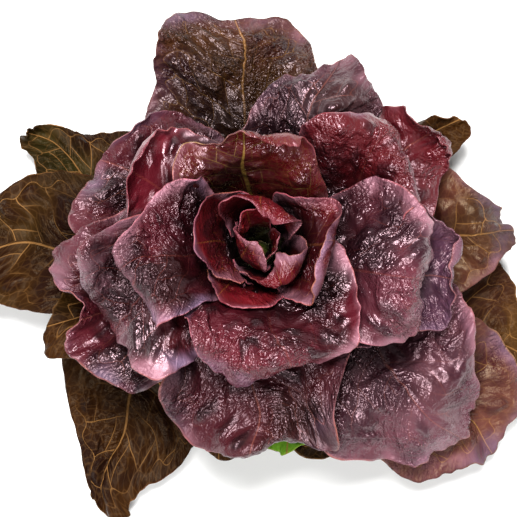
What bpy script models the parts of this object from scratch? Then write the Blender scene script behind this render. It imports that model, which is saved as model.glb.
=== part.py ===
"""A head of red romaine lettuce, cut at the stem and seen open as a rosette.

Every leaf lies on a sheet of its own in a family of nested bowls round the stem. The sheets are
numbered by rank, from the flat outermost one to the upright ones of the heart, and they never
meet, so leaves that overlap lie clear of each other however much their rims wave.
Lengths are in metres, +Z is up, and the origin is the middle of the cut stem face.
"""

import math
from collections import namedtuple

import bmesh
import bpy
import numpy as np

MM = 0.001

# The family of sheets. Each row says how the sheet of that rank leaves the stem and bends:
# the radius and height of its root on the stem in mm, its slope in degrees at the root, half way
# and at its nominal length, and that length in mm.
SHEETS = (
    # rank, root radius, root height, root slope, middle slope, end slope, length
    (0.0, 19.0, 6.0, 8.0, 3.0, -18.0, 165.0),
    (12.0, 15.5, 17.0, 30.0, 20.0, -20.0, 135.0),
    (19.0, 13.0, 26.0, 48.0, 42.0, -16.0, 130.0),
    (26.0, 10.0, 36.0, 58.0, 60.0, -6.0, 125.0),
    (31.0, 8.5, 42.0, 71.0, 66.0, 80.0, 86.0),
    (39.0, 6.0, 50.0, 84.0, 84.0, 104.0, 66.0),
)

# The leaves, from the outermost in. Azimuth is in degrees from +X, lengths are in mm. Waves is how
# far the rim waves, in ranks, cup how far the rim stands up inwards from the sheet, in ranks, and
# sway how far the tip swings aside, in degrees. Skew is the share by which the side of rising azimuth
# is longer than the middle, point narrows the tip, and curl is the radius in mm of the rolled end,
# inwards where it is positive and outwards where it is negative.
Leaf = namedtuple("Leaf", "name rank azimuth length half_width waves cup sway skew point curl")
LEAVES = (
    Leaf("outer_leaf_01", 0.0, 222, 166, 47, 2.6, 0.4, 19, 0.00, 0.55, 0),
    Leaf("outer_leaf_02", 1.0, 343, 168, 46, 2.0, 0.4, -3, -0.04, 0.20, 0),
    Leaf("outer_leaf_03", 1.8, 156, 154, 38, 1.7, 0.0, -5, 0.05, 0.70, 5),
    Leaf("outer_leaf_04", 3.0, 303, 128, 46, 1.8, 0.3, -4, 0.08, 0.10, 0),
    Leaf("outer_leaf_05", 4.0, 36, 130, 36, 2.2, 0.3, -2, -0.08, 0.40, 0),
    Leaf("outer_leaf_06", 5.0, 176, 168, 50, 1.7, 0.4, 4, 0.05, 0.15, 0),
    Leaf("outer_leaf_07", 6.0, 319, 174, 60, 2.0, 0.3, 3, 0.00, 0.10, 0),
    Leaf("outer_leaf_08", 7.0, 95, 141, 64, 2.0, 0.3, 1, 0.05, 0.00, 0),
    Leaf("outer_leaf_09", 8.0, 256, 108, 44, 1.6, 0.2, 3, -0.10, 0.00, 0),
    Leaf("outer_leaf_10", 9.0, 10, 146, 40, 1.8, 0.2, -8, 0.04, 0.50, 0),
    Leaf("outer_leaf_11", 10.0, 200, 124, 44, 1.5, 0.2, 2, 0.08, 0.10, 0),
    Leaf("outer_leaf_12", 11.0, 281, 118, 26, 1.0, 0.0, 0, 0.00, 0.20, 0),
    Leaf("outer_leaf_13", 12.0, 60, 112, 42, 1.6, 0.2, 3, -0.08, 0.10, 0),
    Leaf("middle_leaf_01", 13.3, 145, 112, 48, 1.6, 0.2, 4, 0.08, 0.05, 0),
    Leaf("middle_leaf_02", 14.0, 318, 160, 64, 1.9, 0.0, -2, 0.03, 0.00, 0),
    Leaf("middle_leaf_03", 15.0, 30, 130, 48, 1.8, 0.0, 3, -0.10, 0.10, 8),
    Leaf("middle_leaf_04", 16.0, 204, 130, 56, 1.8, 0.0, -4, 0.00, 0.00, 0),
    Leaf("middle_leaf_05", 17.0, 66, 126, 44, 1.8, 0.0, 2, -0.12, 0.05, 0),
    Leaf("middle_leaf_06", 18.0, 350, 134, 48, 1.8, 0.0, -4, 0.08, 0.05, 8),
    Leaf("middle_leaf_07", 19.0, 266, 150, 56, 1.8, 0.0, 3, 0.08, 0.00, -8),
    Leaf("inner_leaf_01", 19.6, 150, 108, 52, 1.0, 0.2, 4, 0.12, 0.00, 9),
    Leaf("inner_leaf_02", 21.2, 38, 128, 44, 1.0, 0.0, -4, -0.08, 0.05, -9),
    Leaf("inner_leaf_03", 22.0, 206, 136, 50, 1.6, 0.0, 3, -0.05, 0.00, -8),
    Leaf("inner_leaf_04", 23.0, 347, 138, 50, 1.2, 0.0, -3, 0.10, 0.00, -9),
    Leaf("inner_leaf_05", 24.2, 98, 108, 44, 0.9, 0.2, 2, -0.15, 0.00, 9),
    Leaf("inner_leaf_06", 25.0, 284, 126, 58, 1.3, 0.0, 0, -0.05, 0.00, -10),
    Leaf("inner_leaf_07", 26.0, 195, 124, 42, 0.7, 0.2, 2, 0.12, 0.00, -8),
    Leaf("heart_leaf_01", 28.2, 240, 80, 32, 0.8, 0.0, 3, 0.12, 0.10, 0),
    Leaf("heart_leaf_02", 29.7, 1, 96, 37, 0.9, 0.0, -4, -0.10, 0.10, 9),
    Leaf("heart_leaf_03", 31.4, 186, 78, 35, 0.9, 0.0, 4, 0.12, 0.00, 0),
    Leaf("heart_leaf_04", 33.1, 300, 78, 30, 1.0, 0.0, -4, 0.15, 0.20, 9),
    Leaf("heart_leaf_05", 34.8, 85, 78, 27, 1.0, 0.0, 4, -0.15, 0.15, 9),
    Leaf("heart_leaf_06", 36.4, 222, 60, 19, 0.7, 0.0, 0, 0.12, 0.00, 6),
    Leaf("heart_leaf_07", 37.8, 120, 52, 15, 0.5, 0.0, 0, -0.10, 0.00, 0),
    Leaf("heart_leaf_08", 39.0, 340, 46, 12, 0.6, 0.0, 0, 0.10, 0.00, 0),
)

BLADE = 0.9 * MM  # thickness of the blade
RIB_ROOT = 1.7 * MM  # how much thicker the midrib is at the root, on the outer face
RIB_SPREAD = 0.16  # half the midrib's width, as a share of the blade's half width
RIB_FLARE = 2.5  # how many times that it is wider at the root
RIB_FLARE_END = 0.5  # share of the length where the flare ends
RIB_END = 0.95  # share of the length where the midrib ends
RIB_TAPER = 1.2  # power by which it thins out towards that end
ROOT_HALF_WIDTH = 6.5 * MM  # of a large leaf where it leaves the stem
ROOT_SHARE = 0.3  # the root's half width, at most, as a share of the blade's
SIDE_TURN = 1.3  # radians that the place on the rim goes on by from the shoulder to the root
WIDENS_FROM = 0.037  # share of the way to the shoulder where the root begins to widen
SHOULDER = 0.62  # share of a leaf's length where it is widest
BLUNTNESS = 2.2  # 2 gives a leaf's upper part an elliptical outline, and more a squarer one
CURL_ANGLE = 2.0  # radians through which a rolled end turns
LEAST_RADIUS = 9.0 * MM  # a blade wraps the axis no tighter than this
GRID = (9, 12)  # faces across and along a large leaf
HEART_GRID = (7, 8)

STEM_RADIUS = 16.0 * MM
STEM_GAP = 0.8 * MM  # between the stem and the leaves' roots
STEM_TIP = 4.0 * MM  # how far the stem's point stands above the innermost root
STEM_EDGE = 1.0 * MM  # width of the worn edge round the cut face, which is twice as high
STEM_SIDES = 20

# The folds that run through the whole head: the spacing of their crests in mm, the heading across
# them in degrees, where they start in radians, and how far they slide and lift the leaves, in mm.
FOLDS = (
    # spacing, heading, start, slide, lift
    (140, 25, 0.4, 5.0, 3.0),
    (88, 118, 2.1, 4.0, 5.0),
    (66, 62, 4.0, 3.0, 5.0),
    (58, 165, 1.2, 2.5, 4.5),
)
FOLD_TWIST = 40.0 * MM  # the height through which a fold moves on by one radian

# Where the folds are felt: from this distance round the head's centre, and in full that much further
# out. A quarter of their lift sets in just above the table, and the rest higher up.
FOLD_CENTRE_HEIGHT = 45.0 * MM
FOLD_START = 16.0 * MM
FOLD_ONSET = 50.0 * MM
LOW_LIFT = 0.25
LOW_LIFT_HEIGHT = 12.0 * MM
FULL_LIFT_HEIGHT = 90.0 * MM

# Lobes of the outline, as a share of the blade's reach, and waves of the rim, as a share of a leaf's
# own waves: the size of each, how far it turns with the place on the rim, and with the phase.
RIM_LOBES = ((0.04, 7.0, 1), (0.06, 3.3, -1))
RIM_WAVES = ((0.6, 3.6, 1), (0.4, 6.7, -2))
LOBE_PHASE = 2.4  # radians from one rank to the next
WAVE_PHASE = 1.7
WAVES_FULL = 0.7  # share of a leaf's length from which its waves have their full height
SWELLS = 0.3  # height of the blade's slow swells, as a share of the leaf's waves
SWELL_ACROSS = 11.0 * MM  # for each radian of a swell
SWELL_ALONG = 14.0 * MM

# Points and weights of a Gauss rule on 0 to 1, for the integral along a sheet's profile
_nodes, _weights = np.polynomial.legendre.leggauss(10)
GAUSS_AT = (_nodes + 1) / 2
GAUSS_SHARE = _weights / 2


def smooth(x):
    """0 below 0, 1 above 1, and a smooth step between."""
    x = np.clip(x, 0, 1)
    return x * x * (3 - 2 * x)


def sheet(rank, along):
    """Radius, height and slope, in metres and radians, at that distance from the root."""
    ranks, *rows = np.array(SHEETS).T
    radius, height, root, middle, end, length = (np.interp(rank, ranks, row) for row in rows)

    def slope(share):
        bend = (-3 * root + 4 * middle - end) * share + (2 * root - 4 * middle + 2 * end) * share**2
        return np.radians(root + bend)

    share = along / (length * MM)
    slopes = np.stack([slope(share * at) for at in GAUSS_AT], axis=-1)
    out = radius * MM + along * (np.cos(slopes) @ GAUSS_SHARE)
    up = height * MM + along * (np.sin(slopes) @ GAUSS_SHARE)
    return out, up, slope(share)


def rim_sines(rows, turn, phase):
    """The sum of the rows' sine waves along the rim."""
    return sum(size * np.sin(rate * turn + share * phase) for size, rate, share in rows)


def blade_plane(leaf, s, t):
    """Distance across and along the flat blade, nearness to the rim from 0 to 1, and place on the rim.

    s runs from -1 to 1 across the leaf and t from 0 at the root to 1 at the tip.
    """
    low = np.clip(t / SHOULDER, 0, 1)
    v = np.clip((t - SHOULDER) / (1 - SHOULDER), 0, 1)
    most = np.maximum(np.abs(s), v)
    round_off = most / np.maximum((np.abs(s) ** BLUNTNESS + v**BLUNTNESS) ** (1 / BLUNTNESS), 1e-9)
    a = s * round_off
    b = v * round_off
    rim = most
    turn = np.where(v > 0, np.arctan2(a, b), np.sign(s) * (math.pi / 2 + SIDE_TURN * (1 - low)))
    lobes = 1 + rim**4 * rim_sines(RIM_LOBES, turn, LOBE_PHASE * leaf.rank)
    root = min(ROOT_HALF_WIDTH, ROOT_SHARE * leaf.half_width * MM)
    half = root + (leaf.half_width * MM - root) * smooth((low - WIDENS_FROM) / (1 - 2 * WIDENS_FROM))
    across = a * half * (1 - leaf.point * b**2) * lobes
    along = leaf.length * MM * (SHOULDER * low + (1 - SHOULDER) * b * lobes) * (1 + leaf.skew * a * low)
    return across, along, rim, turn


def blade_waves(leaf, across, along, rim, turn):
    """How many ranks the blade leaves its own sheet by: its cupped and waved rim, and slow swells."""
    phase = WAVE_PHASE * leaf.rank
    far = smooth(along / (WAVES_FULL * leaf.length * MM))
    waves = rim_sines(RIM_WAVES, turn, phase)
    swells = SWELLS * np.sin(across / SWELL_ACROSS + phase) * np.sin(along / SWELL_ALONG - phase)
    return far * (leaf.waves * (rim**2.2 * waves + swells) + leaf.cup * rim**2)


def head_lean(points):
    """The whole head's own unevenness, the same for every leaf, and nothing at the stem.

    Each fold only slides the points along its own crest or lifts them, so no two leaves can cross.
    """
    x, y, z = points.T
    off_centre = np.hypot(np.hypot(x, y), np.maximum(z - FOLD_CENTRE_HEIGHT, 0))
    away = smooth((off_centre - FOLD_START) / FOLD_ONSET)
    for spacing, heading, start, slide, lift in FOLDS:
        over, up = math.cos(math.radians(heading)), math.sin(math.radians(heading))
        wave = away * np.sin(2 * math.pi * (x * over + y * up) / (spacing * MM) + z / FOLD_TWIST + start)
        x = x - up * slide * MM * wave
        y = y + over * slide * MM * wave
        share = LOW_LIFT * smooth(z / LOW_LIFT_HEIGHT) + (1 - LOW_LIFT) * smooth(z / FULL_LIFT_HEIGHT)
        z = z + wave * lift * MM * share
    return np.stack([x, y, z], axis=-1)


def leaf_surface(leaf, s, t):
    """Points of the leaf's upper face, which is the one that faces the head's axis."""
    across, along, rim, turn = blade_plane(leaf, s, t)
    rank = leaf.rank + blade_waves(leaf, across, along, rim, turn)
    swing = math.radians(leaf.sway) * (along / (leaf.length * MM)) ** 2
    lift = np.zeros_like(along)
    if leaf.curl:
        radius = abs(leaf.curl) * MM
        bend_at = leaf.length * MM - CURL_ANGLE * radius
        turned = np.maximum(along - bend_at, 0) / radius
        along = np.minimum(along, bend_at) + radius * np.sin(turned)
        lift = math.copysign(radius, leaf.curl) * (1 - np.cos(turned))
    radius, height, slope = sheet(rank, along)
    bearing = math.radians(leaf.azimuth) + swing + across / np.maximum(radius, LEAST_RADIUS)
    radius = radius - lift * np.sin(slope)
    height = height + lift * np.cos(slope)
    return head_lean(np.stack([radius * np.cos(bearing), radius * np.sin(bearing), height], axis=-1))


def rib_share(s, t):
    """How thick the midrib is, from 0 on the blade to 1 at the root."""
    spread = RIB_SPREAD * (1 + RIB_FLARE * (1 - smooth(t / RIB_FLARE_END)))
    return np.exp(-((s / spread) ** 2)) * (1 - smooth(t / RIB_END)) ** RIB_TAPER


def principled(name, colour, roughness):
    material = bpy.data.materials.new(name)
    material.use_nodes = True
    shader = material.node_tree.nodes["Principled BSDF"]
    shader.inputs["Base Color"].default_value = (*colour, 1)
    shader.inputs["Roughness"].default_value = roughness
    shader.inputs["Metallic"].default_value = 0
    return material


def make_leaf(leaf, material, parts, head):
    bm = bmesh.new()
    across, along = HEART_GRID if leaf.name.startswith("heart") else GRID
    bmesh.ops.create_grid(bm, x_segments=across, y_segments=along, size=1)
    flat = np.array([v.co[:2] for v in bm.verts])
    s, t = flat[:, 0], (flat[:, 1] + 1) / 2
    for vert, point in zip(bm.verts, leaf_surface(leaf, s, t)):
        vert.co = point
    bmesh.ops.triangulate(bm, faces=bm.faces)
    mesh = bpy.data.meshes.new(leaf.name)
    bm.to_mesh(mesh)
    bm.free()
    mesh.shade_smooth()
    mesh.materials.append(material)
    obj = bpy.data.objects.new(leaf.name, mesh)
    parts.objects.link(obj)
    obj.parent = head

    thickest = BLADE + RIB_ROOT * min(1, leaf.half_width / 45)
    group = obj.vertex_groups.new(name="thickness")
    for index, share in enumerate(rib_share(s, t)):
        group.add([index], (BLADE + (thickest - BLADE) * share) / thickest, "REPLACE")
    solid = obj.modifiers.new("thickness", "SOLIDIFY")
    solid.thickness = thickest
    solid.offset = 1
    solid.vertex_group = group.name
    return obj


def make_stem(material, parts, head):
    """The short stem that the leaves grow from, turned from its profile: tip, taper, foot, cut face."""
    table = np.array(SHEETS)
    roots = [(row[1] * MM - STEM_GAP, row[2] * MM) for row in table[::-1]]
    inmost, top = roots[0]
    tip = [(0.0, top + STEM_TIP), (0.6 * inmost, top + 0.75 * STEM_TIP)]
    foot = [(STEM_RADIUS, 2 * STEM_EDGE), (STEM_RADIUS - STEM_EDGE, 0.0), (0.0, 0.0)]
    profile = [*tip, *roots, *foot]
    mesh = bpy.data.meshes.new("stem")
    mesh.from_pydata([(x, 0, z) for x, z in profile], [(i, i + 1) for i in range(len(profile) - 1)], [])
    mesh.materials.append(material)
    obj = bpy.data.objects.new("stem", mesh)
    parts.objects.link(obj)
    obj.parent = head
    turn = obj.modifiers.new("turn", "SCREW")
    turn.axis = "Z"
    turn.steps = turn.render_steps = STEM_SIDES
    turn.use_merge_vertices = True
    turn.merge_threshold = 0.00005
    turn.use_normal_calculate = True
    return obj


def main():
    for obj in list(bpy.data.objects):
        bpy.data.objects.remove(obj)
    parts = bpy.data.collections.new("romaine_lettuce")
    bpy.context.scene.collection.children.link(parts)
    head = bpy.data.objects.new("head", None)
    parts.objects.link(head)

    materials = {
        "outer": principled("bronze_leaf", (0.10, 0.055, 0.02), 0.45),
        "middle": principled("purple_leaf", (0.10, 0.03, 0.05), 0.4),
        "inner": principled("maroon_leaf", (0.12, 0.02, 0.045), 0.38),
        "heart": principled("crimson_leaf", (0.25, 0.02, 0.04), 0.4),
        "stem": principled("pale_stem", (0.55, 0.6, 0.35), 0.5),
    }
    make_stem(materials["stem"], parts, head)
    for leaf in LEAVES:
        make_leaf(leaf, materials[leaf.name.split("_")[0]], parts, head)


main()
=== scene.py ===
"""The looks of a head of red romaine lettuce: blistered leaves with their veins, their bloom with a
painted sheen, a painted highlight along their rims and painted shade low down among them, the cut
stem, a pale table, soft studio light and a camera that looks down into the heart.

Every leaf repeats its sheet and outline from the model's source on a fine grid, and adds what that
source leaves out: the puckers between the veins, small wrinkles and the crisped rim.
Lengths are in metres unless a name or a comment says millimetres.
"""

import math
from collections import namedtuple

import bpy
import numpy as np
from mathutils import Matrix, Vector


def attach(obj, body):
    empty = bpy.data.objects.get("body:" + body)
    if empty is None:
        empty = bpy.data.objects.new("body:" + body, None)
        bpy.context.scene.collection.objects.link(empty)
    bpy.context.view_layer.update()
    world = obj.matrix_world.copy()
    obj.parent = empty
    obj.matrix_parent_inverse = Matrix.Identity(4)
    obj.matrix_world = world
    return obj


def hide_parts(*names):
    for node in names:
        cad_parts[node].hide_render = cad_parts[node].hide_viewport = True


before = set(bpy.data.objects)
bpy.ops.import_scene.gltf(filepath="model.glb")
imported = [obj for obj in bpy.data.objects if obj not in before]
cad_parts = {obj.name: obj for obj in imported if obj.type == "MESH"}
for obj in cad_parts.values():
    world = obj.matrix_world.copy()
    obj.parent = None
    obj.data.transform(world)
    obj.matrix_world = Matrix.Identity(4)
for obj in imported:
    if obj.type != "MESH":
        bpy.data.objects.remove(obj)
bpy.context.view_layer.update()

MM = 0.001

# The family of sheets. Each row says how the sheet of that rank leaves the stem and bends:
# the radius and height of its root on the stem in mm, its slope in degrees at the root, half way
# and at its nominal length, and that length in mm.
SHEETS = (
    # rank, root radius, root height, root slope, middle slope, end slope, length
    (0.0, 19.0, 6.0, 8.0, 3.0, -18.0, 165.0),
    (12.0, 15.5, 17.0, 30.0, 20.0, -20.0, 135.0),
    (19.0, 13.0, 26.0, 48.0, 42.0, -16.0, 130.0),
    (26.0, 10.0, 36.0, 58.0, 60.0, -6.0, 125.0),
    (31.0, 8.5, 42.0, 71.0, 66.0, 80.0, 86.0),
    (39.0, 6.0, 50.0, 84.0, 84.0, 104.0, 66.0),
)

# The leaves, from the outermost in. Azimuth is in degrees from +X, lengths are in mm. Waves is how
# far the rim waves, in ranks, cup how far the rim stands up inwards from the sheet, in ranks, and
# sway how far the tip swings aside, in degrees. Skew is the share by which the side of rising azimuth
# is longer than the middle, point narrows the tip, and curl is the radius in mm of the rolled end,
# inwards where it is positive and outwards where it is negative.
Leaf = namedtuple("Leaf", "name rank azimuth length half_width waves cup sway skew point curl")
LEAVES = (
    Leaf("outer_leaf_01", 0.0, 222, 166, 47, 2.6, 0.4, 19, 0.00, 0.55, 0),
    Leaf("outer_leaf_02", 1.0, 343, 168, 46, 2.0, 0.4, -3, -0.04, 0.20, 0),
    Leaf("outer_leaf_03", 1.8, 156, 154, 38, 1.7, 0.0, -5, 0.05, 0.70, 5),
    Leaf("outer_leaf_04", 3.0, 303, 128, 46, 1.8, 0.3, -4, 0.08, 0.10, 0),
    Leaf("outer_leaf_05", 4.0, 36, 130, 36, 2.2, 0.3, -2, -0.08, 0.40, 0),
    Leaf("outer_leaf_06", 5.0, 176, 168, 50, 1.7, 0.4, 4, 0.05, 0.15, 0),
    Leaf("outer_leaf_07", 6.0, 319, 174, 60, 2.0, 0.3, 3, 0.00, 0.10, 0),
    Leaf("outer_leaf_08", 7.0, 95, 141, 64, 2.0, 0.3, 1, 0.05, 0.00, 0),
    Leaf("outer_leaf_09", 8.0, 256, 108, 44, 1.6, 0.2, 3, -0.10, 0.00, 0),
    Leaf("outer_leaf_10", 9.0, 10, 146, 40, 1.8, 0.2, -8, 0.04, 0.50, 0),
    Leaf("outer_leaf_11", 10.0, 200, 124, 44, 1.5, 0.2, 2, 0.08, 0.10, 0),
    Leaf("outer_leaf_12", 11.0, 281, 118, 26, 1.0, 0.0, 0, 0.00, 0.20, 0),
    Leaf("outer_leaf_13", 12.0, 60, 112, 42, 1.6, 0.2, 3, -0.08, 0.10, 0),
    Leaf("middle_leaf_01", 13.3, 145, 112, 48, 1.6, 0.2, 4, 0.08, 0.05, 0),
    Leaf("middle_leaf_02", 14.0, 318, 160, 64, 1.9, 0.0, -2, 0.03, 0.00, 0),
    Leaf("middle_leaf_03", 15.0, 30, 130, 48, 1.8, 0.0, 3, -0.10, 0.10, 8),
    Leaf("middle_leaf_04", 16.0, 204, 130, 56, 1.8, 0.0, -4, 0.00, 0.00, 0),
    Leaf("middle_leaf_05", 17.0, 66, 126, 44, 1.8, 0.0, 2, -0.12, 0.05, 0),
    Leaf("middle_leaf_06", 18.0, 350, 134, 48, 1.8, 0.0, -4, 0.08, 0.05, 8),
    Leaf("middle_leaf_07", 19.0, 266, 150, 56, 1.8, 0.0, 3, 0.08, 0.00, -8),
    Leaf("inner_leaf_01", 19.6, 150, 108, 52, 1.0, 0.2, 4, 0.12, 0.00, 9),
    Leaf("inner_leaf_02", 21.2, 38, 128, 44, 1.0, 0.0, -4, -0.08, 0.05, -9),
    Leaf("inner_leaf_03", 22.0, 206, 136, 50, 1.6, 0.0, 3, -0.05, 0.00, -8),
    Leaf("inner_leaf_04", 23.0, 347, 138, 50, 1.2, 0.0, -3, 0.10, 0.00, -9),
    Leaf("inner_leaf_05", 24.2, 98, 108, 44, 0.9, 0.2, 2, -0.15, 0.00, 9),
    Leaf("inner_leaf_06", 25.0, 284, 126, 58, 1.3, 0.0, 0, -0.05, 0.00, -10),
    Leaf("inner_leaf_07", 26.0, 195, 124, 42, 0.7, 0.2, 2, 0.12, 0.00, -8),
    Leaf("heart_leaf_01", 28.2, 240, 80, 32, 0.8, 0.0, 3, 0.12, 0.10, 0),
    Leaf("heart_leaf_02", 29.7, 1, 96, 37, 0.9, 0.0, -4, -0.10, 0.10, 9),
    Leaf("heart_leaf_03", 31.4, 186, 78, 35, 0.9, 0.0, 4, 0.12, 0.00, 0),
    Leaf("heart_leaf_04", 33.1, 300, 78, 30, 1.0, 0.0, -4, 0.15, 0.20, 9),
    Leaf("heart_leaf_05", 34.8, 85, 78, 27, 1.0, 0.0, 4, -0.15, 0.15, 9),
    Leaf("heart_leaf_06", 36.4, 222, 60, 19, 0.7, 0.0, 0, 0.12, 0.00, 6),
    Leaf("heart_leaf_07", 37.8, 120, 52, 15, 0.5, 0.0, 0, -0.10, 0.00, 0),
    Leaf("heart_leaf_08", 39.0, 340, 46, 12, 0.6, 0.0, 0, 0.10, 0.00, 0),
)

BLADE = 0.6 * MM  # thickness of the blade
RIB_ROOT = 1.7 * MM  # how much thicker the midrib is at the root, on the outer face
RIB_SPREAD = 0.16  # half the midrib's width, as a share of the blade's half width
RIB_FLARE = 2.5  # how many times that it is wider at the root
RIB_FLARE_END = 0.5  # share of the length where the flare ends
RIB_END = 0.95  # share of the length where the midrib ends
RIB_TAPER = 1.2  # power by which it thins out towards that end
ROOT_HALF_WIDTH = 6.5 * MM  # of a large leaf where it leaves the stem
ROOT_SHARE = 0.3  # the root's half width, at most, as a share of the blade's
SIDE_TURN = 1.3  # radians that the place on the rim goes on by from the shoulder to the root
WIDENS_FROM = 0.037  # share of the way to the shoulder where the root begins to widen
SHOULDER = 0.62  # share of a leaf's length where it is widest
BLUNTNESS = 2.2  # 2 gives a leaf's upper part an elliptical outline, and more a squarer one
CURL_ANGLE = 2.0  # radians through which a rolled end turns
LEAST_RADIUS = 9.0 * MM  # a blade wraps the axis no tighter than this
RIB_FULL_AT = 45  # half width in mm of the narrowest leaf whose midrib has its full thickness
GRID = (72, 100)  # faces across and along a large leaf
HEART_GRID = (52, 68)

# The net of veins, in mm: side veins leave the midrib forwards and bend on towards the tip, cross
# veins join them, and arches close the cells near the rim.
SIDE_VEIN_STEP = 17.0  # along a leaf of USUAL_LENGTH, and in proportion on the others
SIDE_VEIN_LEAN = 0.7
SIDE_VEIN_BEND = 0.004
USUAL_LENGTH = 140
SMALL_LEAF = 95  # length up to which a leaf has SMALL_LEAF_STEP times the usual step
SMALL_LEAF_STEP = 0.6
ACROSS_A_LEAN = 0.8  # distance to a leaning side vein, as a share of that along the leaf
CROSS_VEIN_STEP = 19.0
GOLDEN = 0.618  # shifts each row of cells against the last
ARCH_AT = 0.80  # nearness to the rim of the arches
ARCH_DEPTH = 0.07
MIDRIB_SWAY = 2.2  # how far the net wanders aside, and in full from MIDRIB_CALM off the midrib
MIDRIB_CALM = 12
VEIN_SWAY = 2.6  # how far it wanders along the leaf

# The puckers between the veins. Their heights differ from cell to cell, by a rule with no pattern.
PUCKER_REACH = 5.0  # how far from a vein, in mm, a pucker has risen
LEAST_PUCKER = 0.45  # height of the lowest, and how much higher the highest is
PUCKER_RANGE = 0.9
PUCKER_TURNS = (0.618, 0.382, 0.27)  # of the rule, for each row, cell and rank
RELIEF_FROM = 0.35  # share of a leaf's length from which all relief has its full height
PUCKER_PAST_ARCH = 0.65  # share by which they are lower past the arches, and how soon
PAST_ARCH = 0.05

# Noise over a leaf: the size of a swell across and along it in mm, and a number for the leaf's seed
NET_ASIDE = (16, 16, 0)
NET_ALONG = (18, 18, 1)
FOLDS_NOISE = (15, 15, 2)
CREASES_NOISE = (7, 5.5, 3)
FINE_NOISE = (3.8, 3.2, 4)
WANDER_ASIDE = (14, 14, 7)
WANDER_ALONG = (14, 14, 8)
SWELL_NOISE = (30, 26, 10)
SWELL_OFFSET = 9
ZONE_NOISE = (36, 30, 11)

# The wrinkles: how far they wander in mm, and the heights of their folds, creases and fine part, as
# shares of the leaf's own wrinkle. Crinkled zones have more of them than smooth ones, and the rim less.
WANDER = 3
WRINKLE_PARTS = (1.7, 0.9, 0.55)
ZONE_MIDDLE = 0.55
ZONE_CONTRAST = 1.3
SMOOTH_ZONE = 0.35
CRINKLED_MORE = 0.95
RIM_CALM = 0.7
RIM_CALM_FROM = 0.72
RIM_CALM_ONSET = 0.22

# Noise along the rim: the size of a swell in mm, and a number for the leaf's seed
CRISP = (15, 5)
CRISP_START = 0.5
FINE_CRISP = (6, 9)
FINE_CRISP_SHARE = 0.5
NICKS = (12, 6)
NICK_DEPTH = 0.03  # as a share of the blade's reach
FINE_NICKS = (5, 6)
FINE_NICK_DEPTH = 0.014
ALONG_NICK = 0.5  # how much of a nick's share also shortens the leaf along its length
NORMAL_ROUNDS = 4  # of spreading the grid's normals over their neighbours

# The folds that run through the whole head: the spacing of their crests in mm, the heading across
# them in degrees, where they start in radians, and how far they slide and lift the leaves, in mm.
FOLDS = (
    # spacing, heading, start, slide, lift
    (140, 25, 0.4, 5.0, 3.0),
    (88, 118, 2.1, 4.0, 5.0),
    (66, 62, 4.0, 3.0, 5.0),
    (58, 165, 1.2, 2.5, 4.5),
)
FOLD_TWIST = 40.0 * MM  # the height through which a fold moves on by one radian

# Where the folds are felt: from this distance round the head's centre, and in full that much further
# out. A quarter of their lift sets in just above the table, and the rest higher up.
FOLD_CENTRE_HEIGHT = 45.0 * MM
FOLD_START = 16.0 * MM
FOLD_ONSET = 50.0 * MM
LOW_LIFT = 0.25
LOW_LIFT_HEIGHT = 12.0 * MM
FULL_LIFT_HEIGHT = 90.0 * MM

# Lobes of the outline, as a share of the blade's reach, and waves of the rim, as a share of a leaf's
# own waves: the size of each, how far it turns with the place on the rim, and with the phase.
RIM_LOBES = ((0.04, 7.0, 1), (0.06, 3.3, -1))
RIM_WAVES = ((0.6, 3.6, 1), (0.4, 6.7, -2))
LOBE_PHASE = 2.4  # radians from one rank to the next
WAVE_PHASE = 1.7
WAVES_FULL = 0.7  # share of a leaf's length from which its waves have their full height
SWELLS = 0.3  # height of the blade's slow swells, as a share of the leaf's waves
SWELL_ACROSS = 11.0 * MM  # for each radian of a swell
SWELL_ALONG = 14.0 * MM

# Points and weights of a Gauss rule on 0 to 1, for the integral along a sheet's profile
_nodes, _weights = np.polynomial.legendre.leggauss(10)
GAUSS_AT = (_nodes + 1) / 2
GAUSS_SHARE = _weights / 2

# Numbers of the hash that gives each corner of the noise its direction
HASH_COLUMN = 374761393
HASH_ROW = 668265263
HASH_SEED = 1442695041
HASH_MIX = 1274126177
HASH_BITS = 0x7FFFFFFF
DIRECTIONS = 4096
NOISE_GAIN = 1.5  # brings the noise to about -1 to 1

KEY_EXPOSURE = 1.9  # how bright a white surface is in the full key light, where 1 is white on the screen

# How a leaf looks: its slot and colours, of which rim is that of the painted highlight along its edge;
# the heights in mm of its puckers, wrinkles, crisped rim and slow swells; the strength of its grain;
# what is added to its roughness; the strength and the tint of its gloss; and how strong its veins, its
# bloom with its painted sheen, and the painted shade on its lower part are, from 0 to 1.
Look = namedtuple("Look", "slot blade bulge green vein rim pucker wrinkle ruffle swell grain "
                          "dull gloss wax veined bloomed shaded")


def smooth(x):
    """0 below 0, 1 above 1, and a smooth step between."""
    x = np.clip(x, 0, 1)
    return x * x * (3 - 2 * x)


def sheet(rank, along):
    """Radius, height and slope, in metres and radians, at that distance from the root."""
    ranks, *rows = np.array(SHEETS).T
    radius, height, root, middle, end, length = (np.interp(rank, ranks, row) for row in rows)

    def slope(share):
        bend = (-3 * root + 4 * middle - end) * share + (2 * root - 4 * middle + 2 * end) * share**2
        return np.radians(root + bend)

    share = along / (length * MM)
    slopes = np.stack([slope(share * at) for at in GAUSS_AT], axis=-1)
    out = radius * MM + along * (np.cos(slopes) @ GAUSS_SHARE)
    up = height * MM + along * (np.sin(slopes) @ GAUSS_SHARE)
    return out, up, slope(share)


def rim_sines(rows, turn, phase):
    """The sum of the rows' sine waves along the rim."""
    return sum(size * np.sin(rate * turn + share * phase) for size, rate, share in rows)


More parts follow.
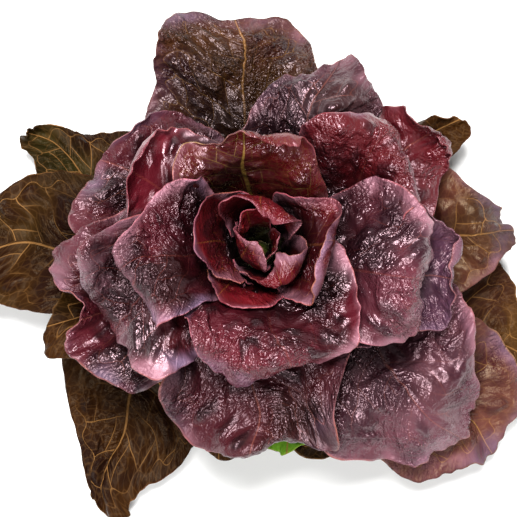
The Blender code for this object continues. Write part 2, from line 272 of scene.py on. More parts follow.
def blade_plane(leaf, s, t):
    """Distance across and along the flat blade, nearness to the rim from 0 to 1, and place on the rim.

    s runs from -1 to 1 across the leaf and t from 0 at the root to 1 at the tip.
    """
    low = np.clip(t / SHOULDER, 0, 1)
    v = np.clip((t - SHOULDER) / (1 - SHOULDER), 0, 1)
    most = np.maximum(np.abs(s), v)
    round_off = most / np.maximum((np.abs(s) ** BLUNTNESS + v**BLUNTNESS) ** (1 / BLUNTNESS), 1e-9)
    a = s * round_off
    b = v * round_off
    rim = most
    turn = np.where(v > 0, np.arctan2(a, b), np.sign(s) * (math.pi / 2 + SIDE_TURN * (1 - low)))
    lobes = 1 + rim**4 * rim_sines(RIM_LOBES, turn, LOBE_PHASE * leaf.rank)
    root = min(ROOT_HALF_WIDTH, ROOT_SHARE * leaf.half_width * MM)
    half = root + (leaf.half_width * MM - root) * smooth((low - WIDENS_FROM) / (1 - 2 * WIDENS_FROM))
    across = a * half * (1 - leaf.point * b**2) * lobes
    along = leaf.length * MM * (SHOULDER * low + (1 - SHOULDER) * b * lobes) * (1 + leaf.skew * a * low)
    return across, along, rim, turn


def blade_waves(leaf, across, along, rim, turn):
    """How many ranks the blade leaves its own sheet by: its cupped and waved rim, and slow swells."""
    phase = WAVE_PHASE * leaf.rank
    far = smooth(along / (WAVES_FULL * leaf.length * MM))
    waves = rim_sines(RIM_WAVES, turn, phase)
    swells = SWELLS * np.sin(across / SWELL_ACROSS + phase) * np.sin(along / SWELL_ALONG - phase)
    return far * (leaf.waves * (rim**2.2 * waves + swells) + leaf.cup * rim**2)


def head_lean(points):
    """The whole head's own unevenness, the same for every leaf, and nothing at the stem.

    Each fold only slides the points along its own crest or lifts them, so no two leaves can cross.
    """
    x, y, z = points.T
    off_centre = np.hypot(np.hypot(x, y), np.maximum(z - FOLD_CENTRE_HEIGHT, 0))
    away = smooth((off_centre - FOLD_START) / FOLD_ONSET)
    for spacing, heading, start, slide, lift in FOLDS:
        over, up = math.cos(math.radians(heading)), math.sin(math.radians(heading))
        wave = away * np.sin(2 * math.pi * (x * over + y * up) / (spacing * MM) + z / FOLD_TWIST + start)
        x = x - up * slide * MM * wave
        y = y + over * slide * MM * wave
        share = LOW_LIFT * smooth(z / LOW_LIFT_HEIGHT) + (1 - LOW_LIFT) * smooth(z / FULL_LIFT_HEIGHT)
        z = z + wave * lift * MM * share
    return np.stack([x, y, z], axis=-1)


def leaf_surface(leaf, s, t, reach):
    """Points of the leaf's upper face, which is the one that faces the head's axis."""
    across, along, rim, turn = blade_plane(leaf, s, t)
    across, along = across * reach, along * (1 + (reach - 1) * ALONG_NICK)
    rank = leaf.rank + blade_waves(leaf, across, along, rim, turn)
    swing = math.radians(leaf.sway) * (along / (leaf.length * MM)) ** 2
    lift = np.zeros_like(along)
    if leaf.curl:
        radius = abs(leaf.curl) * MM
        bend_at = leaf.length * MM - CURL_ANGLE * radius
        turned = np.maximum(along - bend_at, 0) / radius
        along = np.minimum(along, bend_at) + radius * np.sin(turned)
        lift = math.copysign(radius, leaf.curl) * (1 - np.cos(turned))
    radius, height, slope = sheet(rank, along)
    bearing = math.radians(leaf.azimuth) + swing + across / np.maximum(radius, LEAST_RADIUS)
    radius = radius - lift * np.sin(slope)
    height = height + lift * np.cos(slope)
    return head_lean(np.stack([radius * np.cos(bearing), radius * np.sin(bearing), height], axis=-1))


def rib_share(s, t):
    """How thick the midrib is, from 0 on the blade to 1 at its full thickness."""
    spread = RIB_SPREAD * (1 + RIB_FLARE * (1 - smooth(t / RIB_FLARE_END)))
    return np.exp(-((s / spread) ** 2)) * (1 - smooth(t / RIB_END)) ** RIB_TAPER


def noise(x, y, seed):
    """Gradient noise, about -1 to 1, with one swell to each unit of x and y."""
    column, row = np.floor(x), np.floor(y)
    dx, dy = x - column, y - row

    def corner(i, j):
        mixed = (column + i).astype(np.int64) * HASH_COLUMN + (row + j).astype(np.int64) * HASH_ROW
        mixed = (mixed + seed * HASH_SEED) & HASH_BITS
        mixed = ((mixed ^ (mixed >> 13)) * HASH_MIX) & HASH_BITS
        angle = (mixed ^ (mixed >> 16)) % DIRECTIONS * (2 * math.pi / DIRECTIONS)
        return np.cos(angle) * (dx - i) + np.sin(angle) * (dy - j)

    ease_x, ease_y = (d**3 * (d * (6 * d - 15) + 10) for d in (dx, dy))
    low = corner(0, 0) * (1 - ease_x) + corner(1, 0) * ease_x
    high = corner(0, 1) * (1 - ease_x) + corner(1, 1) * ease_x
    return NOISE_GAIN * (low * (1 - ease_y) + high * ease_y)


def leaf_seed(leaf):
    return int(leaf.rank * 10)


def blade_noise(leaf, u, w, kind):
    """Noise over the leaf, at u mm across and w mm along it."""
    step_across, step_along, number = kind
    return noise(u / step_across, w / step_along, leaf_seed(leaf) + number)


def ridged_noise(leaf, u, w, kind):
    """The same noise as sharp ridges, at most 1 high."""
    return 1 - 2 * np.abs(blade_noise(leaf, u, w, kind))


def rim_noise(leaf, turn, kind, start=0.0):
    """Noise along the leaf's rim."""
    step, number = kind
    place = turn * leaf.half_width / step
    return noise(place, np.full_like(place, start), leaf_seed(leaf) + number)


def off_whole(x):
    """How far x is from the nearest whole number."""
    return np.abs(x - np.round(x))


def vein_net(leaf, s, across, along, rim):
    """The net's two running coordinates, nearness to its arches, and mm from its nearest strong vein.

    Side veins run where row is a whole number, and cross veins cut each row into cells.
    """
    u, w = across / MM, along / MM
    u = u + MIDRIB_SWAY * blade_noise(leaf, u, w, NET_ASIDE) * smooth(np.abs(u) / MIDRIB_CALM)
    w = w + VEIN_SWAY * blade_noise(leaf, u, w, NET_ALONG)
    side = np.abs(u)
    scale = leaf.length / USUAL_LENGTH if leaf.length > SMALL_LEAF else SMALL_LEAF_STEP
    step = SIDE_VEIN_STEP * scale
    row = (w - SIDE_VEIN_LEAN * side - SIDE_VEIN_BEND * side**2) / step + np.where(s < 0, 0.5, 0)
    cell = side / (CROSS_VEIN_STEP * scale)
    brick = cell + np.floor(row) * GOLDEN
    arch = rim - (ARCH_AT - ARCH_DEPTH * np.cos(2 * math.pi * row))
    near = np.minimum(side, off_whole(row) * step * ACROSS_A_LEAN)
    near = np.minimum(near, off_whole(brick) * CROSS_VEIN_STEP * scale)
    near = np.minimum(near, np.abs(arch) * leaf.half_width)
    return row, cell, arch, near


def puckers(leaf, along, row, cell, arch, near):
    """Height of the blisters between the veins, as a share of the leaf's own.

    The second result is how far any relief has set in, from 0 at the root.
    """
    brick = np.floor(cell + np.floor(row) * GOLDEN)
    row_turn, cell_turn, rank_turn = PUCKER_TURNS
    turns = np.floor(row) * row_turn + brick * cell_turn + leaf.rank * rank_turn
    dome = (1 - np.exp(-((near / PUCKER_REACH) ** 2))) * (LEAST_PUCKER + PUCKER_RANGE * np.mod(turns, 1))
    far = smooth(along / (RELIEF_FROM * leaf.length * MM))
    return dome * (1 - PUCKER_PAST_ARCH * smooth(arch / PAST_ARCH)) * far, far


def leaf_relief(leaf, look, across, along, rim, turn, dome, far):
    """Height in metres of the relief over the smooth blade, and how crinkled each place is, 0 to 1."""
    u, w = across / MM, along / MM
    u = u + WANDER * blade_noise(leaf, u, w, WANDER_ASIDE)
    w = w + WANDER * blade_noise(leaf, u, w, WANDER_ALONG)
    kinds = (FOLDS_NOISE, CREASES_NOISE, FINE_NOISE)
    wrinkles = sum(share * ridged_noise(leaf, u, w, kind) for share, kind in zip(WRINKLE_PARTS, kinds))
    zone = smooth(ZONE_MIDDLE + ZONE_CONTRAST * blade_noise(leaf, u, w, ZONE_NOISE))
    calm_rim = 1 - RIM_CALM * smooth((rim - RIM_CALM_FROM) / RIM_CALM_ONSET)
    wrinkles = wrinkles * (SMOOTH_ZONE + CRINKLED_MORE * zone) * calm_rim
    crisp = rim**4 * rim_noise(leaf, turn, CRISP, CRISP_START)
    crisp = crisp + rim**8 * FINE_CRISP_SHARE * rim_noise(leaf, turn, FINE_CRISP)
    swells = blade_noise(leaf, u + SWELL_OFFSET, w, SWELL_NOISE)
    height = look.wrinkle * wrinkles + look.ruffle * crisp + look.swell * swells
    return (look.pucker * dome + far * height) * MM, zone


def outline_nicks(leaf, rim, turn):
    """Small lobes of the rim, as a factor on the blade's reach."""
    nicks = NICK_DEPTH * rim_noise(leaf, turn, NICKS) + FINE_NICK_DEPTH * rim_noise(leaf, turn, FINE_NICKS)
    return 1 + rim**8 * nicks


def grid_normals(points):
    """Unit normals of a grid of points, on the side that the leaf's upper face looks to.

    Each is spread over its neighbours, because the grid's own corners are drawn out flat on the rim.
    """
    normals = np.cross(np.gradient(points, axis=0), np.gradient(points, axis=1))
    for _ in range(NORMAL_ROUNDS):
        padded = np.pad(normals, ((1, 1), (1, 1), (0, 0)), mode="edge")
        normals = (padded[:-2, 1:-1] + padded[2:, 1:-1] + padded[1:-1, :-2] + padded[1:-1, 2:] + normals) / 5
    return normals / np.maximum(np.linalg.norm(normals, axis=-1, keepdims=True), 1e-12)


def make_leaf(leaf, look, material):
    """The leaf's upper face as a grid with its relief, given its thickness on the outer side."""
    columns, rows = HEART_GRID if leaf.name.startswith("heart") else GRID
    t, s = np.meshgrid(np.linspace(0, 1, rows + 1), np.linspace(-1, 1, columns + 1), indexing="ij")
    shape = s.shape
    s, t = s.ravel(), t.ravel()
    across, along, rim, turn = blade_plane(leaf, s, t)
    smooth_blade = leaf_surface(leaf, s, t, outline_nicks(leaf, rim, turn)).reshape(*shape, 3)
    row, cell, arch, near = vein_net(leaf, s, across, along, rim)
    dome, far = puckers(leaf, along, row, cell, arch, near)
    height, zone = leaf_relief(leaf, look, across, along, rim, turn, dome, far)
    points = smooth_blade + grid_normals(smooth_blade) * height.reshape(*shape, 1)

    index = np.arange(len(s)).reshape(shape)
    faces = np.stack([index[:-1, :-1], index[1:, :-1], index[1:, 1:], index[:-1, 1:]], axis=-1).reshape(-1, 4)
    mesh = bpy.data.meshes.new(leaf.name + "_fine")
    mesh.from_pydata(points.reshape(-1, 3).tolist(), [], faces.tolist())
    fields = {
        "side": np.abs(across) / MM,
        "row": row,
        "cell": cell,
        "arch": arch * leaf.half_width,
        "rim": rim,
        "root": along / (leaf.length * MM),
        "dome": dome,
        "zone": zone,
    }
    for name, values in fields.items():
        mesh.attributes.new(name, "FLOAT", "POINT").data.foreach_set("value", values.astype(np.float32))
    mesh.shade_smooth()
    mesh.materials.append(material)
    obj = bpy.data.objects.new(leaf.name + "_fine", mesh)
    bpy.context.scene.collection.objects.link(obj)

    thickest = BLADE + RIB_ROOT * min(1, leaf.half_width / RIB_FULL_AT)
    group = obj.vertex_groups.new(name="thickness")
    for number, share in enumerate(rib_share(s, t)):
        group.add([number], (BLADE + (thickest - BLADE) * share) / thickest, "REPLACE")
    solid = obj.modifiers.new("thickness", "SOLIDIFY")
    solid.thickness = thickest
    solid.offset = -1
    solid.vertex_group = group.name
    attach(obj, "root")
    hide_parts(leaf.name)


class Graph:
    """A material's nodes, with short calls for the sums that its colours need."""

    def __init__(self, name):
        self.material = bpy.data.materials.new(name)
        self.material.use_nodes = True
        self.tree = self.material.node_tree
        self.shader = self.tree.nodes["Principled BSDF"]

    def put(self, socket, value):
        """Links the socket to another one, or sets it to a plain value."""
        if isinstance(value, bpy.types.NodeSocket):
            self.tree.links.new(value, socket)
        else:
            socket.default_value = value

    def field(self, name):
        """The number of that name that the mesh holds at each of its points."""
        node = self.tree.nodes.new("ShaderNodeAttribute")
        node.attribute_name = name
        return node.outputs["Fac"]

    def math(self, operation, a, b=0.0):
        node = self.tree.nodes.new("ShaderNodeMath")
        node.operation = operation
        self.put(node.inputs[0], a)
        self.put(node.inputs[1], b)
        return node.outputs[0]

    def times(self, a, b):
        return self.math("MULTIPLY", a, b)

    def off_whole(self, value):
        """How far the value is from the nearest whole number."""
        return self.math("ABSOLUTE", self.math("SUBTRACT", value, self.math("ROUND", value)))

    def step(self, value, low, high, from_value=0.0, to_value=1.0):
        """From one value to another, smoothly, as value goes from low to high."""
        node = self.tree.nodes.new("ShaderNodeMapRange")
        node.interpolation_type = "SMOOTHSTEP"
        for socket, number in zip(node.inputs, (value, low, high, from_value, to_value)):
            self.put(socket, number)
        return node.outputs[0]

    def blend(self, share, a, b):
        """The colour a, with that share of the colour b."""
        node = self.tree.nodes.new("ShaderNodeMix")
        node.data_type = "RGBA"
        self.put(node.inputs[0], share)
        self.put(node.inputs[6], a)
        self.put(node.inputs[7], b)
        return node.outputs[2]

    def place(self):
        """The point in the object's own metres."""
        return self.tree.nodes.new("ShaderNodeTexCoord").outputs["Object"]

    def noise(self, size, detail, place=None):
        """Noise between 0 and 1 whose swells are about size across, in metres."""
        node = self.tree.nodes.new("ShaderNodeTexNoise")
        node.inputs["Scale"].default_value = 0.5 / size
        node.inputs["Detail"].default_value = detail
        self.tree.links.new(self.place() if place is None else place, node.inputs["Vector"])
        return node.outputs["Fac"]

    def patches(self, kind, from_value=0.0, to_value=1.0):
        """Patches of one value in another, of a size, a detail and two thresholds of the noise."""
        size, detail, low, high = kind
        return self.step(self.noise(size, detail), low, high, from_value, to_value)

    def creases(self, size, detail, place=None):
        """Noise that is 0 along its creases and rises on both sides of them."""
        return self.math("ABSOLUTE", self.math("SUBTRACT", self.noise(size, detail, place), 0.5))

    def vector(self, x, y):
        node = self.tree.nodes.new("ShaderNodeCombineXYZ")
        self.put(node.inputs[0], x)
        self.put(node.inputs[1], y)
        return node.outputs[0]

    def bump(self, height, distance, strength):
        node = self.tree.nodes.new("ShaderNodeBump")
        node.inputs["Strength"].default_value = strength
        node.inputs["Distance"].default_value = distance
        self.tree.links.new(height, node.inputs["Height"])
        return node.outputs[0]


def paint(red, green, blue):
    """The linear colour of a surface that shows these screen values, of 0 to 255, in the full key light."""
    def linear(value):
        value = value / 255
        return (value / 12.92 if value <= 0.04045 else ((value + 0.055) / 1.055) ** 2.4) / KEY_EXPOSURE

    return (linear(red), linear(green), linear(blue), 1.0)


# The veins: each is full up to the first distance from its line and gone at the second, in mm, or as
# a share of a row for the side veins and of a cell for the cross veins.
MIDRIB_HALF_WIDTH = (1.3, 0.1)  # mm at the root and at the tip
MIDRIB_EDGE = 0.5  # mm
SIDE_VEIN = (0.006, 0.028)
CROSS_VEIN = (0.004, 0.020)
CROSS_VEIN_STRENGTH = 0.8
ARCH_VEIN = (0.12, 0.5)
ARCH_VEIN_STRENGTH = 0.85
VEINS_END = 1.0  # mm past the arches where side and cross veins end
VEINLET_MESHES = 4.0  # to a row
VEINLET_WIDTH = 0.10  # share of a mesh
VEINLET_STRENGTH = 0.12

# Patches of colour and gloss: size in metres, detail, and the two thresholds of their noise
FADED_VEINS = (0.020, 2.0, 0.36, 0.62)
BULGE_PATCHES = (0.022, 3.0, 0.42, 0.60)
GREEN_PATCHES = (0.035, 1.0, 0.52, 0.75)
# The next two are for the bloom and its painted sheen, in pale mauve and lilac
PAINTED_SHEEN_AND_BLOOM_PATCHES = (0.012, 4.0, 0.36, 0.62)
LILAC_PAINTED_SHEEN_PATCHES = (0.030, 1.0, 0.48, 0.62)
# The next two are for the painted highlight along the rim, in patches and in two tints
PAINTED_RIM_HIGHLIGHT_PATCHES = (0.012, 2.0, 0.38, 0.66)
PAINTED_RIM_HIGHLIGHT_TINTS = (0.025, 1.0, 0.44, 0.60)
GRAIN_PATCHES = (0.008, 2.0, 0.36, 0.64)
GLOSS_PATCHES = (0.006, 3.0, 0.3, 0.7)
GREEN_SHARE = 0.5  # of the leaf's green in its patches
# The bloom with its painted sheen keeps this much between its patches
PAINTED_SHEEN_AND_BLOOM_FLOOR = 0.5  # bloom between its patches, as a share of the leaf's own

# Shares of a leaf's length where its lower part changes colour, and how strongly
GREEN_BASE = (0.05, 0.42, 0.95)
PALE_BASE = (0.0, 0.16, 0.9)
# Painted shade on the lower part, down among the other leaves: full up to the first share, gone by the second
PAINTED_SHADE_BASE = (0.45, 0.90)
PUCKER_COLOUR = (0.2, 0.8, 0.85)  # heights between which a pucker takes the bulges' colour, and its share

# The margin: nearness to the rim with some noise added, and where in it the bloom with its painted sheen
# sets in and is full. The rim line is a painted highlight along the edge itself, which is stronger in
# patches.
MARGIN_NOISE = (0.020, 2.0)  # size in metres and detail
MARGIN_NOISE_SHARE = 0.9
PAINTED_SHEEN_AND_BLOOM_AT = (1.22, 1.50)
PAINTED_RIM_HIGHLIGHT = (0.978, 1.0)
PAINTED_RIM_HIGHLIGHT_SHARES = (0.05, 0.75)

# The fine grain, which only bends the light: streaks that follow the veins, and a finer grain on them.
# Sizes are in metres.
ROW_SIZE = 0.017
CELL_SIZE = 0.010
STREAKS = (0.0026, 2.0)  # size and detail
GRAIN = (0.0018, 2.0)
GRAIN_SHARE = 0.7
BLOOM_GRAIN = 0.75  # share of the grain that is left in the bloom
VEIN_GROOVE = 0.25
GRAIN_FLOOR = 0.5  # share of it between its patches
ZONE_GRAIN = (0.35, 1.15)  # in the smooth zones and in the crinkled ones
GRAIN_HEIGHT = 0.006  # of a grain of strength 1
ROUGHNESS = (0.25, 0.40)  # between these in the gloss patches
BLOOM_ROUGHNESS = 0.15  # more in the bloom


def vein_pattern(g, look, side, row, cell, arch, root):
    """How strongly the midrib and the net of veins show, from 0 to 1."""
    inside = g.step(arch, 0.0, VEINS_END, 1.0, 0.0)
    half_width = g.step(root, 0.0, 1.0, *MIDRIB_HALF_WIDTH)
    midrib = g.step(g.math("SUBTRACT", side, half_width), 0.0, MIDRIB_EDGE, 1.0, 0.0)
    side_vein = g.times(g.step(g.off_whole(row), *SIDE_VEIN, 1.0, 0.0), inside)
    brick = g.math("ADD", cell, g.times(g.math("FLOOR", row), GOLDEN))
    cross_vein = g.times(g.step(g.off_whole(brick), *CROSS_VEIN, CROSS_VEIN_STRENGTH, 0.0), inside)
    arch_vein = g.step(g.math("ABSOLUTE", arch), *ARCH_VEIN, ARCH_VEIN_STRENGTH, 0.0)
    net = g.math("MAXIMUM", g.math("MAXIMUM", side_vein, cross_vein), arch_vein)
    net = g.times(net, g.patches(FADED_VEINS))
    return g.times(g.math("MAXIMUM", midrib, net), look.veined)


def veinlet_pattern(g, row, cell):
    """The finest net, between the cross veins."""
    net = g.tree.nodes.new("ShaderNodeTexVoronoi")
    net.feature = "DISTANCE_TO_EDGE"
    net.inputs["Scale"].default_value = VEINLET_MESHES
    g.tree.links.new(g.vector(row, cell), net.inputs["Vector"])
    return g.step(net.outputs["Distance"], 0.0, VEINLET_WIDTH, 1.0, 0.0)


def leaf_colour(g, look, veins, veinlets, sheen_and_bloom, dome, root, rim):
    """Blade, puckers and green patches, then veins, the lower part with its painted shade, the bloom with its
    painted sheen, and the painted highlight of the rim.
    """
    colour = g.blend(g.patches(BULGE_PATCHES), look.blade, look.bulge)
    low, high, share = PUCKER_COLOUR
    colour = g.blend(g.step(dome, low, high, 0.0, share), colour, look.bulge)
    colour = g.blend(g.patches(GREEN_PATCHES, 0.0, GREEN_SHARE), colour, look.green)
    colour = g.blend(g.times(veinlets, VEINLET_STRENGTH * look.veined), colour, look.vein)
    colour = g.blend(g.step(root, *GREEN_BASE, 0.0), colour, look.green)
    colour = g.blend(veins, colour, look.vein)
    colour = g.blend(g.step(root, *PALE_BASE, 0.0), colour, PALE_ROOT)
    # Painted shade: the lower part of the leaf, down in the head among the others, is darkened towards near
    # black
    colour = g.blend(g.step(root, *PAINTED_SHADE_BASE, look.shaded, 0.0), colour, PAINTED_SHADE)
    # The bloom with a painted sheen: the margins turn pale mauve, in lilac patches, as the waxy leaf looks
    # where it reflects the soft light
    sheen_and_bloom_colour = g.blend(g.patches(LILAC_PAINTED_SHEEN_PATCHES), PAINTED_SHEEN_AND_BLOOM, LILAC_PAINTED_SHEEN)
    colour = g.blend(g.times(sheen_and_bloom, look.bloomed), colour, sheen_and_bloom_colour)
    # A painted highlight: a thin bright line along the edge, where it catches the light, stronger in patches
    # and tinted between the rim's and the veins' colours
    rim_highlight_share = g.times(g.step(rim, *PAINTED_RIM_HIGHLIGHT), g.patches(PAINTED_RIM_HIGHLIGHT_PATCHES, *PAINTED_RIM_HIGHLIGHT_SHARES))
    return g.blend(rim_highlight_share, colour, g.blend(g.patches(PAINTED_RIM_HIGHLIGHT_TINTS), look.rim, look.vein))


def leaf_grain(g, veins, sheen_and_bloom, row, cell, zone):
    """Height of the fine streaks and grain."""
    along_veins = g.vector(g.times(row, ROW_SIZE), g.times(cell, CELL_SIZE))
    height = g.math("ADD", g.creases(*STREAKS, along_veins), g.times(g.creases(*GRAIN), GRAIN_SHARE))
    height = g.times(height, g.step(sheen_and_bloom, 0.0, 1.0, 1.0, BLOOM_GRAIN))
    height = g.math("SUBTRACT", height, g.times(veins, VEIN_GROOVE))
    height = g.times(height, g.patches(GRAIN_PATCHES, GRAIN_FLOOR, 1.0))
    return g.times(height, g.step(zone, 0.0, 1.0, *ZONE_GRAIN))


def leaf_material(name, look):
    """A leaf's skin: its colours with their painted sheen, shade and rim highlight, its grain, and a waxy
    gloss that the bloom dulls.
    """
    g = Graph(name)
    side, row, cell, arch = (g.field(n) for n in ("side", "row", "cell", "arch"))
    rim, root, dome, zone = (g.field(n) for n in ("rim", "root", "dome", "zone"))
    veins = vein_pattern(g, look, side, row, cell, arch, root)
    # Where the bloom with its painted sheen lies: the margin, in patches
    margin = g.math("ADD", rim, g.times(g.noise(*MARGIN_NOISE), MARGIN_NOISE_SHARE))
    patchy = g.patches(PAINTED_SHEEN_AND_BLOOM_PATCHES, PAINTED_SHEEN_AND_BLOOM_FLOOR * look.bloomed, 1.0)
    sheen_and_bloom = g.times(g.step(margin, *PAINTED_SHEEN_AND_BLOOM_AT), patchy)

    colour = leaf_colour(g, look, veins, veinlet_pattern(g, row, cell), sheen_and_bloom, dome, root, rim)
    g.put(g.shader.inputs["Base Color"], colour)
    grain = leaf_grain(g, veins, sheen_and_bloom, row, cell, zone)
    g.put(g.shader.inputs["Normal"], g.bump(grain, GRAIN_HEIGHT * look.grain, 1.0))
    rough = g.patches(GLOSS_PATCHES, *(value + look.dull for value in ROUGHNESS))
    g.put(g.shader.inputs["Roughness"], g.math("ADD", rough, g.times(sheen_and_bloom, BLOOM_ROUGHNESS)))
    g.shader.inputs["Specular IOR Level"].default_value = look.gloss
    g.shader.inputs["Specular Tint"].default_value = look.wax
    return g.material


PALE_ROOT = paint(255, 255, 192)
# The pale mauve and lilac of the bloom with its painted sheen
PAINTED_SHEEN_AND_BLOOM = paint(212, 144, 162)
LILAC_PAINTED_SHEEN = paint(176, 143, 180)
# The near black of the painted shade low down among the leaves
PAINTED_SHADE = paint(14, 3, 4)
RED_WAX = (1.0, 0.66, 0.74, 1.0)  # tints of the gloss
PINK_WAX = (1.0, 0.76, 0.78, 1.0)
BROWN_WAX = (1.0, 0.76, 0.50, 1.0)

OUTER = Look(
    slot="outer_leaf",
    blade=paint(66, 36, 12),
    bulge=paint(40, 18, 10),
    green=paint(58, 52, 14),
    vein=paint(196, 140, 80),
    rim=paint(127, 72, 47),
    pucker=3.8,
    wrinkle=0.6,
    ruffle=4.5,
    swell=2.5,
    grain=0.45,
    dull=0.12,
    gloss=0.09,
    wax=BROWN_WAX,
    veined=0.75,
    bloomed=0.0,
    shaded=0.8,
)
MIDDLE = Look(
    slot="middle_leaf",
    blade=paint(96, 29, 40),
    bulge=paint(30, 9, 14),
    green=paint(66, 32, 24),
    vein=paint(192, 109, 90),
    rim=paint(219, 130, 130),
    pucker=3.6,
    wrinkle=1.0,
    ruffle=5.0,
    swell=3.2,
    grain=0.9,
    dull=0.0,
    gloss=0.78,
    wax=RED_WAX,
    veined=0.35,
    bloomed=0.4,
    shaded=0.95,
)
INNER = Look(
    slot="inner_leaf",
    blade=paint(108, 24, 38),
    bulge=paint(32, 6, 12),
    green=paint(74, 28, 24),
    vein=paint(186, 87, 72),
    rim=paint(247, 127, 140),
    pucker=3.2,
    wrinkle=1.0,
    ruffle=4.5,
    swell=2.8,
    grain=0.9,
    dull=-0.03,
    gloss=0.92,
    wax=RED_WAX,
    veined=0.25,
    bloomed=0.5,
    shaded=1.0,
)
HEART = Look(
    slot="heart_leaf",
    blade=paint(130, 18, 31),
    bulge=paint(84, 11, 23),
    green=paint(84, 81, 26),
    vein=paint(213, 124, 60),
    rim=paint(253, 109, 124),
    pucker=1.6,
    wrinkle=0.8,
    ruffle=2.5,
    swell=1.2,
    grain=0.6,
    dull=0.0,
    gloss=0.70,
    wax=RED_WAX,
    veined=0.3,
    bloomed=0.65,
    shaded=1.0,
)
KINDS = {"outer": OUTER, "middle": MIDDLE, "inner": INNER, "heart": HEART}

# What single leaves have otherwise than their kind
LOOKS = {
    "outer_leaf_01": OUTER._replace(
        blade=paint(62, 34, 12), bulge=paint(40, 19, 12), green=paint(74, 50, 16)),
    "outer_leaf_02": OUTER._replace(
        blade=paint(94, 60, 29), bulge=paint(69, 37, 24), pucker=3.2),
    "outer_leaf_03": OUTER._replace(
        blade=paint(69, 44, 21), green=paint(63, 72, 23)),
    "outer_leaf_06": OUTER._replace(
        blade=paint(66, 38, 13), bulge=paint(46, 20, 12), green=paint(78, 62, 16)),
    "outer_leaf_07": OUTER._replace(
        blade=paint(122, 68, 60), bulge=paint(88, 38, 42), bloomed=0.4, gloss=0.3, grain=0.9),
    "outer_leaf_08": OUTER._replace(
        blade=paint(76, 36, 20), bulge=paint(42, 14, 20), green=paint(72, 50, 16), pucker=6.0,
        dull=-0.02, gloss=0.45, wax=PINK_WAX, bloomed=0.4, grain=1.2, wrinkle=1.5),
    "outer_leaf_10": OUTER._replace(
        blade=paint(112, 61, 47), bulge=paint(84, 38, 35), bloomed=0.35, gloss=0.3),
    "outer_leaf_12": OUTER._replace(
        blade=paint(180, 238, 75), bulge=paint(124, 189, 51), green=paint(155, 216, 60)),
    "outer_leaf_13": MIDDLE._replace(
        blade=paint(94, 29, 35), bloomed=0.2),
    "middle_leaf_02": MIDDLE._replace(
        blade=paint(122, 72, 84), bulge=paint(72, 34, 46), wrinkle=1.1, grain=0.8, bloomed=0.6, veined=0.3),
    "middle_leaf_03": MIDDLE._replace(
        blade=paint(109, 26, 35), bulge=paint(69, 18, 26), bloomed=0.2),
    "middle_leaf_05": MIDDLE._replace(
        blade=paint(63, 31, 40), bulge=paint(38, 19, 27), wrinkle=1.2),
    "middle_leaf_06": MIDDLE._replace(
        blade=paint(94, 58, 78), bulge=paint(60, 32, 49), bloomed=0.45),
    "middle_leaf_07": MIDDLE._replace(
        blade=paint(80, 27, 36), bulge=paint(30, 10, 15), bloomed=0.2, gloss=0.6),
    "inner_leaf_01": INNER._replace(
        blade=paint(124, 29, 44), wrinkle=0.4, grain=0.3, bloomed=0.2),
    "inner_leaf_02": INNER._replace(
        blade=paint(115, 26, 34), bulge=paint(66, 16, 24), bloomed=0.3),
    "inner_leaf_03": INNER._replace(
        blade=paint(112, 34, 44), bloomed=0.8),
    "inner_leaf_04": INNER._replace(
        blade=paint(118, 52, 66), bulge=paint(56, 22, 34), bloomed=1.0, wrinkle=1.5, swell=4.0),
    "inner_leaf_05": INNER._replace(
        blade=paint(112, 23, 26), bulge=paint(69, 14, 20), green=paint(137, 72, 26),
        vein=paint(190, 150, 70), wrinkle=0.5, grain=0.4, veined=0.8, bloomed=0.2, shaded=0.7),
    "inner_leaf_06": INNER._replace(
        blade=paint(118, 32, 47), bloomed=1.0, wrinkle=1.3),
    "inner_leaf_07": INNER._replace(
        blade=paint(106, 27, 42), bloomed=1.0, gloss=0.7),
}

# The stem's flesh. Sizes and heights are in metres.
FIBRES = (0.0012, 3.0)  # size and detail
FIBRE_HEIGHT = 0.0006
FIBRE_STRENGTH = 0.6
STEM_GREENS = (0.03, 0.05)  # between these heights over the table it turns green
BROWN_PATCHES = (0.006, 3.0, 0.48, 0.66)
BROWN_SHARE = 0.7
STEM_ROUGHNESS = (0.3, 0.7, 0.35, 0.55)  # of the fibres' noise, and what it becomes


def stem_material():
    """Pale flesh with fine fibres and patches of brown, turning green higher up."""
    g = Graph("cut_stem_flesh")
    fibres = g.noise(*FIBRES)
    colour = g.blend(fibres, paint(238, 255, 155), paint(255, 255, 232))
    place = g.tree.nodes.new("ShaderNodeSeparateXYZ")
    g.tree.links.new(g.place(), place.inputs[0])
    colour = g.blend(g.step(place.outputs["Z"], *STEM_GREENS), colour, paint(97, 109, 41))
    colour = g.blend(g.patches(BROWN_PATCHES, 0.0, BROWN_SHARE), colour, paint(238, 167, 103))
    g.put(g.shader.inputs["Base Color"], colour)
    g.put(g.shader.inputs["Roughness"], g.step(fibres, *STEM_ROUGHNESS))
    g.put(g.shader.inputs["Normal"], g.bump(fibres, FIBRE_HEIGHT, FIBRE_STRENGTH))
    return g.material


TABLE_HALF = 1.4
TABLE_GAP = 0.0002  # below the stem's cut face
TABLE_TONES = ((0.90, 0.90, 0.89, 1), (0.93, 0.93, 0.92, 1))
TABLE_NOISE = (0.05, 2.0)
TABLE_ROUGHNESS = 0.9


def make_table():
    """A plain pale table that fills the frame in the views from above."""
    mesh = bpy.data.meshes.new("table")
    half = TABLE_HALF
    corners = [(-half, -half, 0), (half, -half, 0), (half, half, 0), (-half, half, 0)]
    mesh.from_pydata(corners, [], [(0, 1, 2, 3)])
    g = Graph("pale_table")
    g.put(g.shader.inputs["Base Color"], g.blend(g.noise(*TABLE_NOISE), *TABLE_TONES))
    g.shader.inputs["Roughness"].default_value = TABLE_ROUGHNESS
    mesh.materials.append(g.material)
    table = bpy.data.objects.new("table", mesh)
    bpy.context.scene.collection.objects.link(table)
    table.location.z = -TABLE_GAP


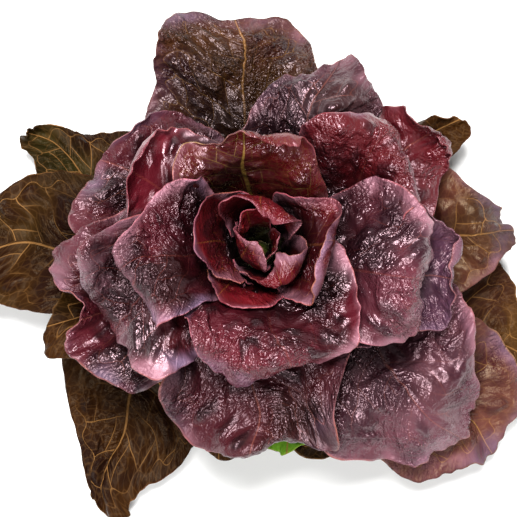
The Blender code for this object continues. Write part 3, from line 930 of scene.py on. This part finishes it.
LIGHT_DISTANCE = 3.0
LIT_POINT = Vector((0, 0, 0.06))  # about half way up the head


def area_light(name, power, size, azimuth, elevation):
    """A soft square light that shines on the head. Azimuth is in degrees from +X, power in watts."""
    data = bpy.data.lights.new(name, "AREA")
    data.energy = power
    data.size = size
    light = bpy.data.objects.new(name, data)
    a, e = math.radians(azimuth), math.radians(elevation)
    way = Vector((math.cos(a) * math.cos(e), math.sin(a) * math.cos(e), math.sin(e)))
    light.location = LIT_POINT + way * LIGHT_DISTANCE
    light.rotation_mode = "QUATERNION"
    light.rotation_quaternion = way.to_track_quat("Z", "Y")
    bpy.context.scene.collection.objects.link(light)


HORIZON = 0.75  # strength of the surrounding light near the horizon and high up
OVERHEAD = 0.03
HORIZON_END = 0.22  # sines of the elevations between which it goes from one to the other
OVERHEAD_START = 0.60


def make_light():
    """White surroundings that are bright round the horizon, a key light behind and one in front."""
    world = bpy.data.worlds.new("studio")
    world.use_nodes = True
    nodes, links = world.node_tree.nodes, world.node_tree.links
    way = nodes.new("ShaderNodeSeparateXYZ")
    links.new(nodes.new("ShaderNodeTexCoord").outputs["Generated"], way.inputs[0])
    height = nodes.new("ShaderNodeMapRange")
    for socket, value in zip(height.inputs[1:], (HORIZON_END, OVERHEAD_START, HORIZON, OVERHEAD)):
        socket.default_value = value
    links.new(way.outputs["Z"], height.inputs[0])
    links.new(height.outputs[0], nodes["Background"].inputs["Strength"])
    nodes["Background"].inputs["Color"].default_value = (1, 1, 1, 1)
    bpy.context.scene.world = world
    area_light("key", power=164.0, size=1.0, azimuth=105, elevation=74)
    area_light("front", power=71.0, size=1.1, azimuth=258, elevation=64)
    bpy.context.scene.view_settings.view_transform = "Standard"


AIM = Vector((0, 0, 0.02))  # the point that the camera looks at
FRAME_WIDTH = 0.320  # what the frame shows across, in metres, at that point
SENSOR = 36.0  # mm
CAMERA_DISTANCE = 1.0
CAMERA_ELEVATION = 82.0


def make_camera():
    """Looks down on the head from a little in front of it, as the photograph does."""
    data = bpy.data.cameras.new("camera")
    data.sensor_width = SENSOR
    data.lens = SENSOR * CAMERA_DISTANCE / FRAME_WIDTH
    camera = bpy.data.objects.new("camera", data)
    bpy.context.scene.collection.objects.link(camera)
    e = math.radians(CAMERA_ELEVATION)
    back = Vector((0, -math.cos(e), math.sin(e)))
    camera.location = AIM + back * CAMERA_DISTANCE
    camera.rotation_mode = "QUATERNION"
    camera.rotation_quaternion = (-back).to_track_quat("-Z", "Y")
    bpy.context.scene.camera = camera


make_camera()
make_light()
make_table()
for leaf in LEAVES:
    look = LOOKS.get(leaf.name, KINDS[leaf.name.split("_")[0]])
    make_leaf(leaf, look, leaf_material(leaf.name + "_skin", look))
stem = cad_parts["stem"]
stem.data.materials.clear()
stem.data.materials.append(stem_material())
